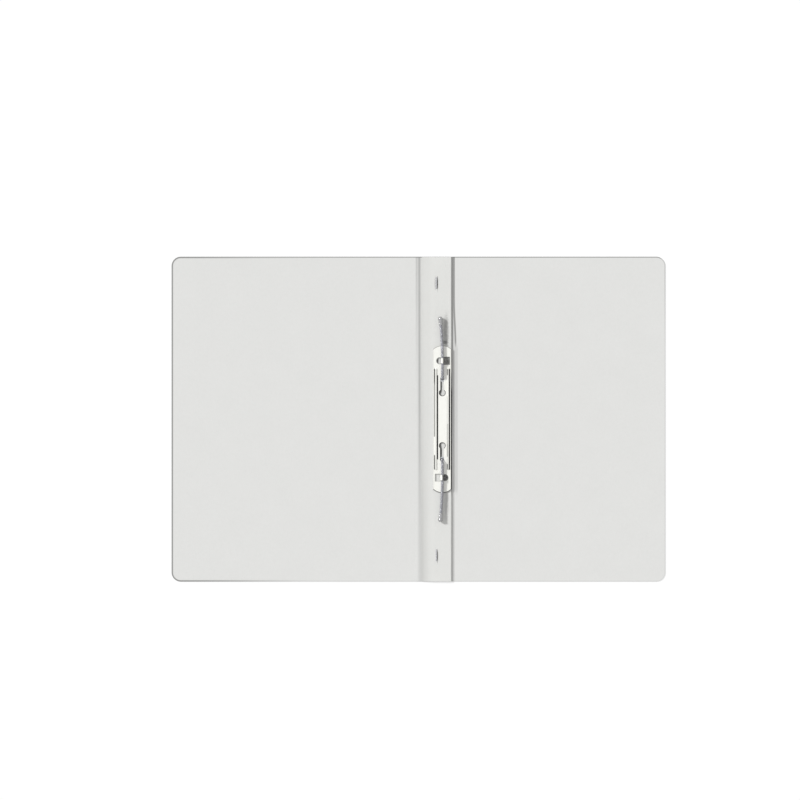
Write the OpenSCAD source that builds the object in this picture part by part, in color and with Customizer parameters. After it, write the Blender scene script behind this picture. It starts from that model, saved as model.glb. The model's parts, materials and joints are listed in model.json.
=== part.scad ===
// Fastener folder, lying open on its outer faces. Two card covers hang on a scored spine, a folded
// filing strip is stapled to the rear cover, and two coil-spring prongs are hooked down on a pressed cover bar.
// +X points to the free edge of the rear cover, +Y to the head of the folder, +Z up from the table.
// The origin is on the table under the middle of the spine. Lengths are in millimetres, angles in degrees.

/* [Covers] */
// Height of the covers, head to foot
cover_h = 320; // [280:1:360]
// Width of one cover, score line to free edge
cover_w = 240; // [200:1:280]
// Thickness of the cover card
board_t = 0.5; // [0.4:0.05:1]
// Radius of the free corners
corner_r = 9; // [2:0.5:20]
// Width of the pressed score on each side of a fold
score_w = 0.6; // [0.3:0.1:1]
// Depth of the pressed score
score_d = 0.15; // [0.05:0.05:0.3]
// Gap between the card edges along a fold
fold_gap = 0.1; // [0.05:0.05:0.3]
// Room between the closed front cover and the highest piece of the fastener
closing_gap = 0.3; // [0.1:0.1:10]

/* [Filing strip] */
// Width of the folded strip
strip_w = 29; // [26:0.1:50]
// Thickness of the strip card
strip_t = 0.4; // [0.3:0.05:0.8]
// Distance of the strip from the rear score line
strip_inset = 0.3; // [0.2:0.1:2]
// Distance of the strip from the head and foot of the cover
strip_end_gap = 0.3; // [0:0.1:10]
// Width of the margin where the two leaves of the strip are glued together
glue_w = 2; // [1:0.5:4]
// Width over which the upper leaf rises from the glued margin
slope_w = 7; // [4:0.5:8]

/* [Staples] */
// Distance of the staples from the head and foot of the cover
staple_margin = 26; // [12:1:60]
// Distance of the staples from the rear score line
staple_inset = 14.3; // [13:0.1:16]
// Outer width of the staple crown
staple_crown = 11.5; // [8:0.5:16]
// Width of the flat staple wire
staple_w = 1.2; // [0.4:0.1:1.4]
// Thickness of the flat staple wire
staple_t = 0.35; // [0.2:0.05:0.4]
// Outer radius of the staple bends
staple_r = 0.5; // [0.4:0.05:0.8]
// Length of each clinched leg, pressed flush into the back of the rear cover
clinch_l = 4; // [2:0.5:4.5]

/* [Base rail and spring cups] */
// Distance between the two prongs, as in two-hole punched paper
hole_spacing = 80; // [70:1:100]
// Distance of the prongs from the free edge of the strip, which the bar lines up with
prong_margin = 9.05; // [8:0.05:11]
// Width of the base rail
rail_w = 8; // [7.5:0.5:10]
// Thickness of the base rail
rail_t = 0.4; // [0.3:0.05:0.8]
// Length of the rail past each prong
rail_end = 6; // [5:0.5:20]
// Thickness of the cup flanges and of the cup floor
cup_t = 0.2; // [0.15:0.05:0.4]
// Wall of the cup barrel
cup_wall = 0.5; // [0.45:0.05:0.8]
// Width of the cup flanges past the barrel
cup_flange = 1.1; // [0.6:0.1:1.4]
// Widening of the cup mouth where the spring bends out
cup_flare = 0.35; // [0.25:0.05:0.4]
// Room under the cups inside the folded strip
pocket_gap = 0.15; // [0.05:0.05:0.5]
// Clearance round the cups and the staple legs in their holes
hole_fit = 0.05; // [0.03:0.01:0.2]

/* [Cover bar] */
// Length of the bar past each prong
bar_end = 32.5; // [26:0.5:45]
// Width of the bar
bar_w = 18; // [17:0.2:22]
// Thickness of the bar sheet
bar_t = 0.5; // [0.4:0.05:0.8]
// Bulge of the rounded bar ends
bar_bulge = 3.4; // [1:0.1:6]
// Radius of the bar corners
bar_corner_r = 1; // [0.2:0.1:2]
// Drop of the rolled long edges below the flat of the bar
edge_drop = 0.3; // [0.2:0.05:0.6]
// Clearance between the rolled edges and the strip they rest on
bar_seat = 0.05; // [0.02:0.01:0.3]
// Width of the two stiffening beads
bead_w = 2.9; // [2:0.1:3.2]
// Height of the beads above the bar
bead_h = 0.8; // [0.4:0.1:1.2]
// Length of the beads past each prong
bead_end = 10.5; // [4:0.5:12]
// Distance of each bead from the middle of the bar
bead_offset = 6.1; // [5.4:0.1:6.4]
// Distance from a prong in to the round end of its keyhole
keyhole_run = 14; // [8:0.5:30]
// Clearance of a prong tip in the round end of the keyhole, on the diameter
keyhole_gap = 1.2; // [0.4:0.1:2]
// Clearance of a spring in the keyhole slot, on the width
slot_gap = 0.6; // [0.2:0.1:1]

/* [Hooks] */
// Distance from a prong out to its hook
hook_reach = 17.5; // [16:0.5:22]
// Width of the hook
hook_w = 5; // [3:0.5:6]
// Clearance between the hook and the spring under it
hook_gap = 0.1; // [0.05:0.05:0.4]
// Angle that the hook wraps round the spring, from its side
hook_angle = 130; // [60:5:150]
// Length of the window that the hook is lanced from
window_l = 5; // [3:0.5:5.5]
// Clearance beside the hook in its window
window_gap = 1; // [0.5:0.25:1.5]
// Radius of the round finger hole on the open side of the hook
access_r = 3; // [2:0.25:3.5]
// Distance of the finger hole from the middle of the bar
access_offset = 2.6; // [2:0.1:4]

/* [Spring prongs] */
// Outer diameter of the springs
spring_d = 2.8; // [2.4:0.1:3.2]
// Diameter of the spring wire
wire_d = 0.5; // [0.4:0.05:0.6]
// Clearance of a spring in its cup and in its tip
spring_fit = 0.1; // [0.05:0.01:0.2]
// Clearance at the two ends of the spring wire
foot_gap = 0.05; // [0.02:0.01:0.2]
// Clearance between the springs and the bar they lie on
run_gap = 0.1; // [0.05:0.05:0.5]
// Least distance between the turns along the run
run_pitch = 1.25; // [1.1:0.05:2]
// Least distance between the turns round the bend
bend_pitch = 1.9; // [1.8:0.1:3]
// Distance from a prong hole to the end of its tip
tip_reach = 61; // [50:0.5:80]
// Diameter of the round ends of the tips
tip_d = 4.4; // [3.6:0.1:5]
// Wall of the tip ferrules round the springs
ferrule_wall = 0.3; // [0.25:0.05:0.5]
// Length of the tips
tip_l = 8.5; // [7:0.5:12]
// Depth of the tip bore that takes the spring
tip_bore = 4.5; // [3:0.5:5]
// Distance of the crimp from the mouth of a tip
crimp_at = 1.8; // [1:0.1:2.5]
// Width of the crimp
crimp_w = 0.8; // [0.4:0.1:1.2]
// Depth of the crimp
crimp_d = 0.15; // [0.05:0.05:0.2]
// Angle at which the tips lean towards the spine
tip_lean = 5; // [0:1:8]

/* [Hidden] */
$fn = 64;
rings_per_turn = 8;
wire_sides = 6;
bead_steps = 10;
corner_steps = 6;
bow_steps = 24;
// Angle that the bowed end of the bar leaves to each corner
bow_step = 1;
upper = 1;
lower = -1;
// Overshoot of a cut past the face it opens
cut = 1;

// Heights, from the table up through the stack
leaf_z = board_t + strip_t;
cup_z = leaf_z + pocket_gap;
rail_z = cup_z + cup_t;
pocket_h = pocket_gap + cup_t + rail_t;
strip_z = leaf_z + pocket_h + strip_t;
bar_z = strip_z + bar_seat;
flat_z = bar_z + edge_drop;
run_z = max(flat_z + bar_t + spring_d / 2, strip_z + tip_d / 2) + run_gap;
hook_r = spring_d / 2 + hook_gap;
hook_top = run_z + (hook_r + bar_t) * sin(min(hook_angle, 90));
tip_top = run_z + tip_d / 2;
spine_w = max(hook_top, tip_top) + closing_gap - board_t;

// Places across and along the folder
score_x = spine_w / 2;
strip_x = score_x + strip_inset;
staple_x = score_x + staple_inset;
staple_y = cover_h / 2 - staple_margin;
prong_x = strip_x + strip_w - prong_margin;
hole_y = hole_spacing / 2;
hook_y = hole_y + hook_reach;
mouth_y = hole_y + tip_reach - tip_l;

// Cups
bore_r = spring_d / 2 + spring_fit;
barrel_r = bore_r + cup_wall;
flange_r = barrel_r + cup_flange;
cup_floor_z = cup_z + cup_t;

// Bar
bar_l = hole_spacing + 2 * bar_end;
end_arc_r = (bar_w * bar_w / 4 + bar_bulge * bar_bulge) / (2 * bar_bulge);
edge_r = edge_drop + bar_t;
bead_l = hole_spacing + 2 * bead_end;
slot_w = spring_d + slot_gap;

// Tips
ferrule_r = bore_r + ferrule_wall;
crimp_r = (crimp_w * crimp_w / 4 + crimp_d * crimp_d) / (2 * crimp_d);

// Spring axis: a straight foot in the cup, a quarter bend over the bar, and a run that leans past the hook
coil_r = (spring_d - wire_d) / 2;
foot_z = cup_floor_z + foot_gap;
bend_z = foot_z + wire_d;
bend_r = run_z - bend_z;
bend_l = bend_r * PI / 2;
run_y = hole_y + bend_r;
run_l = mouth_y + (tip_bore - foot_gap) * cos(tip_lean) - run_y;
spring_l = wire_d + bend_l + run_l;
bend_turns = floor(bend_l / bend_pitch);
run_turns = floor((run_l - wire_d) / run_pitch);
lean_l = mouth_y - hook_y;

function unit(v) = v / norm(v);

// Sideways lean of the run at a distance y from the middle of the bar, and its slope
function lean(y) =
    y < hook_y ? 0
    : y < mouth_y ? tan(tip_lean) * pow(y - hook_y, 2) / (2 * lean_l)
    : tan(tip_lean) * (lean_l / 2 + y - mouth_y);
function lean_slope(y) = tan(tip_lean) * min(max((y - hook_y) / lean_l, 0), 1);

// Point and direction of the spring axis at a length s from the foot, on the upper or lower side
function bend_angle(s) = (s - wire_d) / bend_l * 90;
function run_at(s) = run_y + s - wire_d - bend_l;
function axis_point(s, side) =
    s < wire_d ? [prong_x, side * hole_y, foot_z + s]
    : s < wire_d + bend_l
        ? [prong_x, side * (run_y - bend_r * cos(bend_angle(s))), bend_z + bend_r * sin(bend_angle(s))]
    : [prong_x - lean(run_at(s)), side * run_at(s), run_z];
function axis_direction(s, side) =
    s < wire_d ? [0, 0, 1]
    : s < wire_d + bend_l ? [0, side * sin(bend_angle(s)), cos(bend_angle(s))]
    : unit([-lean_slope(run_at(s)), side, 0]);

// Length along the axis of each ring of the coil: a straight end, the bend, the run, and a straight end
coil_lengths = concat(
    [0],
    [for (i = [0 : bend_turns * rings_per_turn - 1]) wire_d + bend_l * i / (bend_turns * rings_per_turn)],
    [
        for (i = [0 : run_turns * rings_per_turn])
            wire_d + bend_l + (run_l - wire_d) * i / (run_turns * rings_per_turn)
    ],
    [spring_l]
);
coil_rings = len(coil_lengths);

// Direction from the spring axis out to the wire. The straight ends keep the angle of the ring beside them
function turn_angle(i) = (min(max(i, 1), coil_rings - 2) - 1) * 360 / rings_per_turn;
function outward(i, side) =
    let (
        along = axis_direction(coil_lengths[i], side),
        across = unit([1, 0, 0] - along[0] * along),
        over = cross(along, across)
    )
    across * cos(turn_angle(i)) + over * sin(turn_angle(i));
function wire_centres(side) = [
    for (i = [0 : coil_rings - 1]) axis_point(coil_lengths[i], side) + coil_r * outward(i, side)
];

// Least gap of the wire to itself, on points more than half a turn apart
function least_gap(centres) =
    min([
        for (i = [0 : coil_rings - 1])
            for (k = [i + rings_per_turn / 2 + 1 : 1 : coil_rings - 1]) norm(centres[k] - centres[i])
    ]) - wire_d;
echo(upper_spring_least_gap = least_gap(wire_centres(upper)));
echo(lower_spring_least_gap = least_gap(wire_centres(lower)));

// Rectangle with round corners, centred
module round_rect(size, r) {
    square([size[0] - 2 * r, size[1]], center = true);
    square([size[0], size[1] - 2 * r], center = true);
    for (x = [-1, 1], y = [-1, 1])
        translate([x * (size[0] / 2 - r), y * (size[1] / 2 - r)]) circle(r);
}

// A profile in X and Z, extruded along Y over the length l, centred
module along_y(l) {
    translate([0, l / 2, 0]) rotate([90, 0, 0]) linear_extrude(l) children();
}

// Pressed score along a fold, as the groove that is cut from the inner face of the card beside x = 0
module score_cut() {
    along_y(cover_h + 2 * cut)
        polygon([[-score_w, board_t], [0, board_t - score_d], [score_w, board_t], [0, board_t + cut]]);
}

// One cover, from its score line at x = 0 to its free edge
module cover_blank() {
    difference() {
        linear_extrude(board_t) {
            translate([fold_gap / 2, -cover_h / 2]) square([cover_w - fold_gap / 2 - corner_r, cover_h]);
            translate([cover_w / 2, -cover_h / 2 + corner_r]) square([cover_w / 2, cover_h - 2 * corner_r]);
            for (y = [-1, 1])
                translate([cover_w - corner_r, y * (cover_h / 2 - corner_r)]) circle(corner_r);
        }
        score_cut();
    }
}

module front_cover() {
    color("#DDDEDA") mirror([1, 0, 0]) translate([score_x, 0, 0]) cover_blank();
}

module spine_panel() {
    color("#D8D9D5")
        difference() {
            translate([-score_x + fold_gap / 2, -cover_h / 2, 0]) cube([spine_w - fold_gap, cover_h, board_t]);
            for (x = [-score_x, score_x]) translate([x, 0, 0]) score_cut();
        }
}

// Places of the two staples along the folder
module at_staple(side) {
    translate([staple_x, side * staple_y, 0]) children();
}

// Outline of the staple wire across its width, in Y and Z: crown on top, legs, and clinched ends below
module staple_profile() {
    staple_h = strip_z + staple_t;
    difference() {
        translate([0, staple_h / 2]) round_rect([staple_crown, staple_h], staple_r);
        translate([0, staple_h / 2])
            round_rect([staple_crown - 2 * staple_t, staple_h - 2 * staple_t], staple_r - staple_t);
        translate([-staple_crown / 2 + clinch_l, -cut]) square([staple_crown - 2 * clinch_l, cut + staple_t + hole_fit]);
    }
}

module staple() {
    color("#B9BBC0")
        translate([-staple_w / 2, 0, 0]) rotate([90, 0, 90]) linear_extrude(staple_w) staple_profile();
}

// Holes for the legs of a staple, through the strip and the cover, and the recess for its clinched ends
module staple_cut() {
    leg_w = staple_w + 2 * hole_fit;
    recess_l = staple_crown + 2 * hole_fit;
    leg_t = staple_r + 2 * hole_fit;
    for (y = [-1, 1])
        translate([0, y * (recess_l / 2 - leg_t / 2), strip_z / 2])
            cube([leg_w, leg_t, strip_z + 2 * cut], center = true);
    translate([-leg_w / 2, -recess_l / 2, -cut]) cube([leg_w, recess_l, cut + staple_t + hole_fit]);
}

module top_staple() {
    at_staple(upper) staple();
}

module bottom_staple() {
    at_staple(lower) staple();
}

module rear_cover() {
    color("#DDDEDA")
        difference() {
            translate([score_x, 0, 0]) cover_blank();
            for (side = [upper, lower]) at_staple(side) staple_cut();
        }
}

// Section of the folded strip: glued margin, two leaves and a round fold at the free edge
module strip_profile() {
    fold_r = strip_t + pocket_h / 2;
    fold_x = strip_x + strip_w - fold_r;
    margin_x = strip_x + glue_w;
    difference() {
        union() {
            polygon([
                [strip_x, board_t], [fold_x, board_t], [fold_x, strip_z], [margin_x + slope_w, strip_z],
                [margin_x, leaf_z + strip_t], [strip_x, leaf_z + strip_t]
            ]);
            translate([fold_x, leaf_z + pocket_h / 2]) circle(fold_r);
        }
        polygon([
            [margin_x, leaf_z], [fold_x, leaf_z], [fold_x, leaf_z + pocket_h], [margin_x + slope_w, leaf_z + pocket_h]
        ]);
        translate([fold_x, leaf_z + pocket_h / 2]) circle(pocket_h / 2);
    }
}

// Places of the two prongs
module at_prong(side) {
    translate([prong_x, side * hole_y, 0]) children();
}

module filing_strip() {
    color("#DADBD7")
        difference() {
            along_y(cover_h - 2 * strip_end_gap) strip_profile();
            for (side = [upper, lower]) {
                at_prong(side) translate([0, 0, rail_z]) cylinder(r = barrel_r + hole_fit, h = strip_z - rail_z + cut);
                at_staple(side) staple_cut();
            }
        }
}

module base_rail() {
    color("#A9ABB0")
        translate([0, 0, rail_z])
            difference() {
                linear_extrude(rail_t) {
                    translate([prong_x, 0]) square([rail_w, hole_spacing + 2 * rail_end - rail_w], center = true);
                    for (side = [upper, lower])
                        translate([prong_x, side * (hole_y + rail_end - rail_w / 2)]) circle(d = rail_w);
                }
                for (side = [upper, lower])
                    at_prong(side) translate([0, 0, -cut]) cylinder(r = barrel_r + hole_fit, h = rail_t + 2 * cut);
            }
}

// Closed rivet: a floor flange under the rail, a barrel up through the strip, and a flared flange on top
module spring_cup() {
    mouth_z = strip_z + cup_t;
    color("#B4B6BB")
        rotate_extrude()
            polygon([
                [0, cup_z], [flange_r, cup_z], [flange_r, rail_z], [barrel_r, rail_z], [barrel_r, strip_z],
                [flange_r, strip_z], [flange_r, mouth_z], [bore_r + cup_flare, mouth_z],
                [bore_r, mouth_z - cup_flare], [bore_r, cup_floor_z], [0, cup_floor_z]
            ]);
}

module upper_spring_cup() {
    at_prong(upper) spring_cup();
}

module lower_spring_cup() {
    at_prong(lower) spring_cup();
}

// One unbroken wire, swept along the coil with triangles
module spring(side) {
    centres = wire_centres(side);
    last = coil_rings - 1;
    points = [
        for (i = [0 : last])
            let (
                along = unit(centres[min(i + 1, last)] - centres[max(i - 1, 0)]),
                out = unit(outward(i, side) - (outward(i, side) * along) * along),
                over = cross(along, out)
            )
            for (k = [0 : wire_sides - 1])
                centres[i] + wire_d / 2 * (out * cos(k * 360 / wire_sides) + over * sin(k * 360 / wire_sides))
    ];
    sides = [
        for (i = [0 : last - 1])
            for (k = [0 : wire_sides - 1])
                let (
                    a = i * wire_sides + k,
                    b = i * wire_sides + (k + 1) % wire_sides,
                    c = b + wire_sides,
                    d = a + wire_sides
                )
                each [[a, d, c], [a, c, b]]
    ];
    foot = [for (k = [1 : wire_sides - 2]) [0, k, k + 1]];
    head = [for (k = [1 : wire_sides - 2]) [for (m = [0, k + 1, k]) last * wire_sides + m]];
    color("#A8AAB2") polyhedron(points = points, faces = concat(sides, foot, head));
}

module upper_spring() {
    spring(upper);
}

module lower_spring() {
    spring(lower);
}

// Round-ended tip, from its mouth at the origin along +Z, crimped on the spring near the mouth
module round_tip() {
    color("#B7B9BE")
        difference() {
            union() {
                cylinder(r = ferrule_r, h = tip_l - tip_d / 2);
                translate([0, 0, tip_l - tip_d / 2]) sphere(d = tip_d);
            }
            translate([0, 0, -cut]) cylinder(r = bore_r, h = tip_bore + cut);
            translate([0, 0, crimp_at]) rotate_extrude() translate([ferrule_r - crimp_d + crimp_r, 0]) circle(crimp_r);
        }
}

module upper_spring_tip() {
    translate([prong_x - lean(mouth_y), mouth_y, run_z]) rotate([-90, 0, tip_lean]) round_tip();
}

module lower_spring_tip() {
    mirror([0, 1, 0]) upper_spring_tip();
}

// Flat outline of the bar, with bowed ends and round corners that run into the sides and the bowed ends
corner_x = bar_w / 2 - bar_corner_r;
bow_y = bar_l / 2 - end_arc_r;
corner_y = bow_y + sqrt(pow(end_arc_r - bar_corner_r, 2) - corner_x * corner_x);
corner_angle = atan2(corner_y - bow_y, corner_x);
function arc(centre, r, from, to, steps) = [
    for (i = [0 : steps]) let (a = from + (to - from) * i / steps) centre + r * [cos(a), sin(a)]
];
bar_end_points = concat(
    arc([corner_x, corner_y], bar_corner_r, 0, corner_angle, corner_steps),
    arc([0, bow_y], end_arc_r, corner_angle + bow_step, 180 - corner_angle - bow_step, bow_steps),
    arc([-corner_x, corner_y], bar_corner_r, 180 - corner_angle, 180, corner_steps)
);
module bar_outline() {
    polygon(concat(bar_end_points, -bar_end_points));
}

// Section of the bar in X and Z: a flat with both long edges rolled down. The underside of the flat is at 0
module bar_section() {
    flat_w = bar_w - 2 * edge_r;
    difference() {
        union() {
            translate([-flat_w / 2, -edge_drop]) square([flat_w, edge_r]);
            for (x = [-1, 1]) translate([x * flat_w / 2, -edge_drop]) circle(edge_r);
        }
        translate([-flat_w / 2, -edge_drop]) square([flat_w, edge_drop]);
        for (x = [-1, 1]) translate([x * flat_w / 2, -edge_drop]) circle(edge_drop);
        translate([-bar_w / 2 - cut, -edge_drop - edge_r - cut]) square([bar_w + 2 * cut, edge_r + cut]);
    }
}

// Keyhole: a round end that passes the tip, and a slot out to where the spring comes through
module keyhole() {
    slot_end = run_y - slot_w / 2;
    translate([0, hole_y - keyhole_run]) circle(d = tip_d + keyhole_gap);
    translate([-slot_w / 2, hole_y - keyhole_run]) square([slot_w, slot_end - hole_y + keyhole_run]);
    translate([0, slot_end]) circle(d = slot_w);
}

// Openings of one catch: the window beside the hook, and the finger hole on its open side
module catch_holes() {
    translate([hook_r + bar_t, hook_y - hook_w / 2 - window_gap]) square([window_l, hook_w + 2 * window_gap]);
    translate([-access_offset, hook_y]) circle(access_r);
}

// Hook lanced up beside the spring and curled over it
module hook() {
    axis_z = run_z - flat_z;
    translate([hook_r, hook_y - hook_w / 2, 0]) cube([bar_t, hook_w, axis_z]);
    translate([0, hook_y + hook_w / 2, axis_z])
        rotate([90, 0, 0])
            rotate_extrude(angle = hook_angle) translate([hook_r, 0]) square([bar_t, hook_w]);
}

// Rise of a pressed bead at a distance x from its middle
function bead_rise(x) = bead_h * (1 + cos(x / bead_w * 360)) / 2;

// Half section of a bead in X and Z, down to a depth d below its foot
module bead_half(d) {
    polygon(concat(
        [[0, -d], [bead_w / 2, -d]],
        [for (i = [bead_steps : -1 : 0]) let (x = bead_w / 2 * i / bead_steps) [x, bead_rise(x)]]
    ));
}

// Long bead with round ends
module bead(d) {
    bead_y = bead_l / 2 - bead_w / 2;
    along_y(2 * bead_y) {
        bead_half(d);
        mirror([1, 0]) bead_half(d);
    }
    for (y = [-bead_y, bead_y]) translate([0, y, 0]) rotate_extrude() bead_half(d);
}

module cover_bar() {
    color("#F4F3EC")
        translate([prong_x, 0, flat_z]) {
            difference() {
                union() {
                    intersection() {
                        along_y(bar_l) bar_section();
                        translate([0, 0, -edge_drop - cut]) linear_extrude(edge_r + 2 * cut) bar_outline();
                    }
                    for (x = [-bead_offset, bead_offset]) translate([x, 0, bar_t]) bead(bar_t / 2);
                }
                for (x = [-bead_offset, bead_offset]) translate([x, 0, 0]) bead(cut);
                for (turn = [0, 180])
                    rotate([0, 0, turn])
                        translate([0, 0, -cut])
                            linear_extrude(bar_t + 2 * cut) {
                                keyhole();
                                catch_holes();
                            }
            }
            for (turn = [0, 180]) rotate([0, 0, turn]) hook();
        }
}

front_cover();
spine_panel();
rear_cover();
filing_strip();
top_staple();
bottom_staple();
base_rail();
upper_spring_cup();
lower_spring_cup();
upper_spring();
lower_spring();
upper_spring_tip();
lower_spring_tip();
cover_bar();
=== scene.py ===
# Fastener folder, lying open: scored card covers, a folded filing strip, and two coil-spring prongs
# hooked down on a pressed bar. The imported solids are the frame.
# Lengths are in metres, written as millimetres times MM.

import json
import math

import bmesh
import bpy
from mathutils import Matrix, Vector

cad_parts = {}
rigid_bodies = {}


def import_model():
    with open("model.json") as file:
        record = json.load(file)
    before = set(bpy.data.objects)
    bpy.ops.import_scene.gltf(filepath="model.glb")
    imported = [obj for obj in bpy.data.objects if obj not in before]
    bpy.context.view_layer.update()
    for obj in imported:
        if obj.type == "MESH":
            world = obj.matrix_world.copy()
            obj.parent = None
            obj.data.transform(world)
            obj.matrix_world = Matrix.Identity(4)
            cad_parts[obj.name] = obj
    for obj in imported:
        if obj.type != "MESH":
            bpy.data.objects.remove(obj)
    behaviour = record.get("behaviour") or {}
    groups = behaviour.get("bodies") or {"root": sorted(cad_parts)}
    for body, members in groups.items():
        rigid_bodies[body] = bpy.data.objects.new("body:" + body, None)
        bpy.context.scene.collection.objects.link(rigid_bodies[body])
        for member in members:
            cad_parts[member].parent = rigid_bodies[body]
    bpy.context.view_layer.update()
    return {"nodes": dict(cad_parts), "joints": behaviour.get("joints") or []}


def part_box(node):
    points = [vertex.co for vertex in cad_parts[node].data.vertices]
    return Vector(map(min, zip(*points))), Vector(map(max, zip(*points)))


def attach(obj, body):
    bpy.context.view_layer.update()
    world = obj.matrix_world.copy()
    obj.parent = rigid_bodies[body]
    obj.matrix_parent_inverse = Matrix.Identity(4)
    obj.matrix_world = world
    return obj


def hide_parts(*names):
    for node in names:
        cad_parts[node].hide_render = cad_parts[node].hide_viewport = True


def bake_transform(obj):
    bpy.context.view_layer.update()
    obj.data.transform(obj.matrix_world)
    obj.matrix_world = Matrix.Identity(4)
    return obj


for left_over in list(bpy.data.objects):
    bpy.data.objects.remove(left_over)

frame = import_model()
nodes = frame["nodes"]
scene = bpy.context.scene
scene.view_settings.view_transform = "Standard"

MM = 0.001
MICRON = 0.000001

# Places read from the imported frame
joints = {joint["name"]: joint for joint in frame["joints"]}
card_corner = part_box("rear_cover")[1]
bar_low, bar_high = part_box("cover_bar")
PRONG_X, HOLE_Y, RUN_Z = joints["upper_prong_swing"]["pos_m"]
FOLD_X = joints["spine_fold"]["pos_m"][0]
LIFT = joints["bar_lift"]["range_m"][1]
BOARD_T = card_corner.z
REACH = card_corner.x
HEAD_Y = card_corner.y
BEYOND = 2 * HEAD_Y
STRIP_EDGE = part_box("filing_strip")[1].x
BAR_HALF_W = (bar_high.x - bar_low.x) / 2
BAR_END_Y = bar_high.y

# Card
CORNER_R = 9 * MM
CORNER_STEPS = 14
RIM_R = 0.06 * MM
FOLD_ZONE_OUT = 0.3 * MM
FOLD_ZONE_IN = 0.8 * MM
FOLD_STEPS = 10
FOLD_SHARP_FROM = math.radians(12)

# Pressed scores on the inner face: middle and half width, and the cuts across each in half widths
SCORE_DEPTH = 0.03 * MM
SCORES = [(-FOLD_X, 0.35 * MM), (-2.0 * MM, 0.35 * MM), (1.0 * MM, 0.5 * MM), (FOLD_X, 0.35 * MM)]
SCORE_CUTS = (-1, -0.5, 0, 0.5, 1)

# Pockets for the clinched staple legs
POCKET_SPARE = 0.05 * MM
POCKET_DEPTH = 0.35 * MM

# Print on the outer face of the front cover: a margin rule and writing lines, from the spine and the head
RULE_FROM_SPINE = (21.2 * MM, 22.4 * MM)
RULE_FROM_HEAD = (8.5 * MM, 280 * MM)
LINES_FROM_SPINE = (122.7 * MM, 223.7 * MM)
LINES_FROM_HEAD = [63.9 * MM, 83.7 * MM, 235.4 * MM, 250.2 * MM, 265.5 * MM, 280.6 * MM]
LINE_T = 1.1 * MM

# Rounded edges
EDGE_STEPS = 2
FLAT_WITHIN = math.radians(0.6)
ROUNDED_FROM = math.radians(35)
SHARP_FROM = math.radians(50)
FLAT_WEIGHT = 90
STRIP_EDGE_R = 0.08 * MM
BAR_EDGE_R = 0.1 * MM
STAPLE_EDGE_R = 0.09 * MM
RAIL_EDGE_R = 0.06 * MM
CUP_EDGE_R = 0.05 * MM

# Springs
WIRE_D = 0.5 * MM
SPRING_D = 2.8 * MM
COIL_R = (SPRING_D - WIRE_D) / 2
CLOSE_PITCH = 0.55 * MM
BEND_PITCH = 0.8 * MM
WIRE_SIDES = 8
STEPS_PER_TURN = 16
FOOT_Z = 1.3 * MM
FOOT_START = 1.35 * MM
FOOT_END = 1.75 * MM
BEND_Z = 1.8 * MM
BEND_R = RUN_Z - BEND_Z
BEND_L = BEND_R * math.pi / 2
FOOT_L = BEND_Z - FOOT_Z + LIFT
HALVINGS = 40
HOOK_Y = 57.5 * MM
MOUTH_Y = 92.5 * MM

# Ferrules on the springs
TIP_LEAN = math.radians(5)
TIP_D = 4.4 * MM
TIP_L = 8.5 * MM
TIP_BORE = 4.5 * MM
TIP_BORE_R = SPRING_D / 2 + 0.1 * MM
FERRULE_R = 1.8 * MM
FERRULE_L = 4.6 * MM
MOUTH_ROLL = 0.12 * MM
MOUTH_IN = 0.08 * MM
MOUTH_OUT = 0.1 * MM
BALL_RINGS = 16
TIP_STEPS = 40
TIP_SHARP_FROM = math.radians(40)
RUN_L = MOUTH_Y + TIP_BORE * math.cos(TIP_LEAN) - HOLE_Y - BEND_R - WIRE_D

# Crimp of a ferrule: shares of its half width, and of its depth there
CRIMP_AT = 1.8 * MM
CRIMP_HALF_W = 0.4 * MM
CRIMP_DEPTH = 0.15 * MM
CRIMP = [(-1, 0), (-0.625, 0.4), (-0.25, 1), (0.25, 1), (0.625, 0.4), (1, 0)]

# Pressed bar
BEAD_X = 6.1 * MM
BEAD_Y = 49.05 * MM
BEAD_W = 2.9 * MM
END_ARC_R = 13.61 * MM
KEYHOLE_Y = 26 * MM
KEYHOLE_R = 2.8 * MM
FINGER_X = 2.6 * MM
FINGER_R = 3 * MM
WINDOW_X = 4.5 * MM

# Camera and floor
CAMERA_PLACE = (-18.2 * MM, 18.9 * MM, 2190 * MM)
CAMERA_LENS = 100
SENSOR_W = 36
CLIP_NEAR = 0.01
CLIP_FAR = 20
FLOOR_HALF = 6
FLOOR_DROP = 0.05 * MM
FLOOR_LIFT = 0.57

# Share of the light that comes from all round, and from the low key light at the upper left
FILL = 0.56
KEY = 0.44
KEY_ELEVATION = math.radians(30)
KEY_ANGLE = math.radians(8)
KEY_TRAVEL = (0.87, -0.5)


# Shader building

def put(tree, kind, inputs=None, **settings):
    """Adds one node, with its settings and with values or links on its inputs"""
    node = tree.nodes.new("ShaderNode" + kind)
    for name, value in settings.items():
        setattr(node, name, value)
    for name, value in (inputs or {}).items():
        if isinstance(value, bpy.types.NodeSocket):
            tree.links.new(value, node.inputs[name])
        else:
            node.inputs[name].default_value = value
    return node


def calc(tree, operation, first, second=0.0, third=0.0):
    """One Math node"""
    return put(tree, "Math", {0: first, 1: second, 2: third}, operation=operation).outputs[0]


def times(tree, first, second):
    return calc(tree, "MULTIPLY", first, second)


def most(tree, first, second):
    return calc(tree, "MAXIMUM", first, second)


def scaled(tree, value, factor, offset):
    return calc(tree, "MULTIPLY_ADD", value, factor, offset)


def past(tree, value, limit):
    """How far a value lies past a limit, to either side"""
    return most(tree, calc(tree, "SUBTRACT", calc(tree, "ABSOLUTE", value), limit), 0.0)


def noise(tree, place, scale, detail=2.0, roughness=0.5):
    """Noise with this many cells in a metre"""
    inputs = {"Vector": place, "Scale": scale, "Detail": detail, "Roughness": roughness}
    return put(tree, "TexNoise", inputs).outputs[0]


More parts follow.
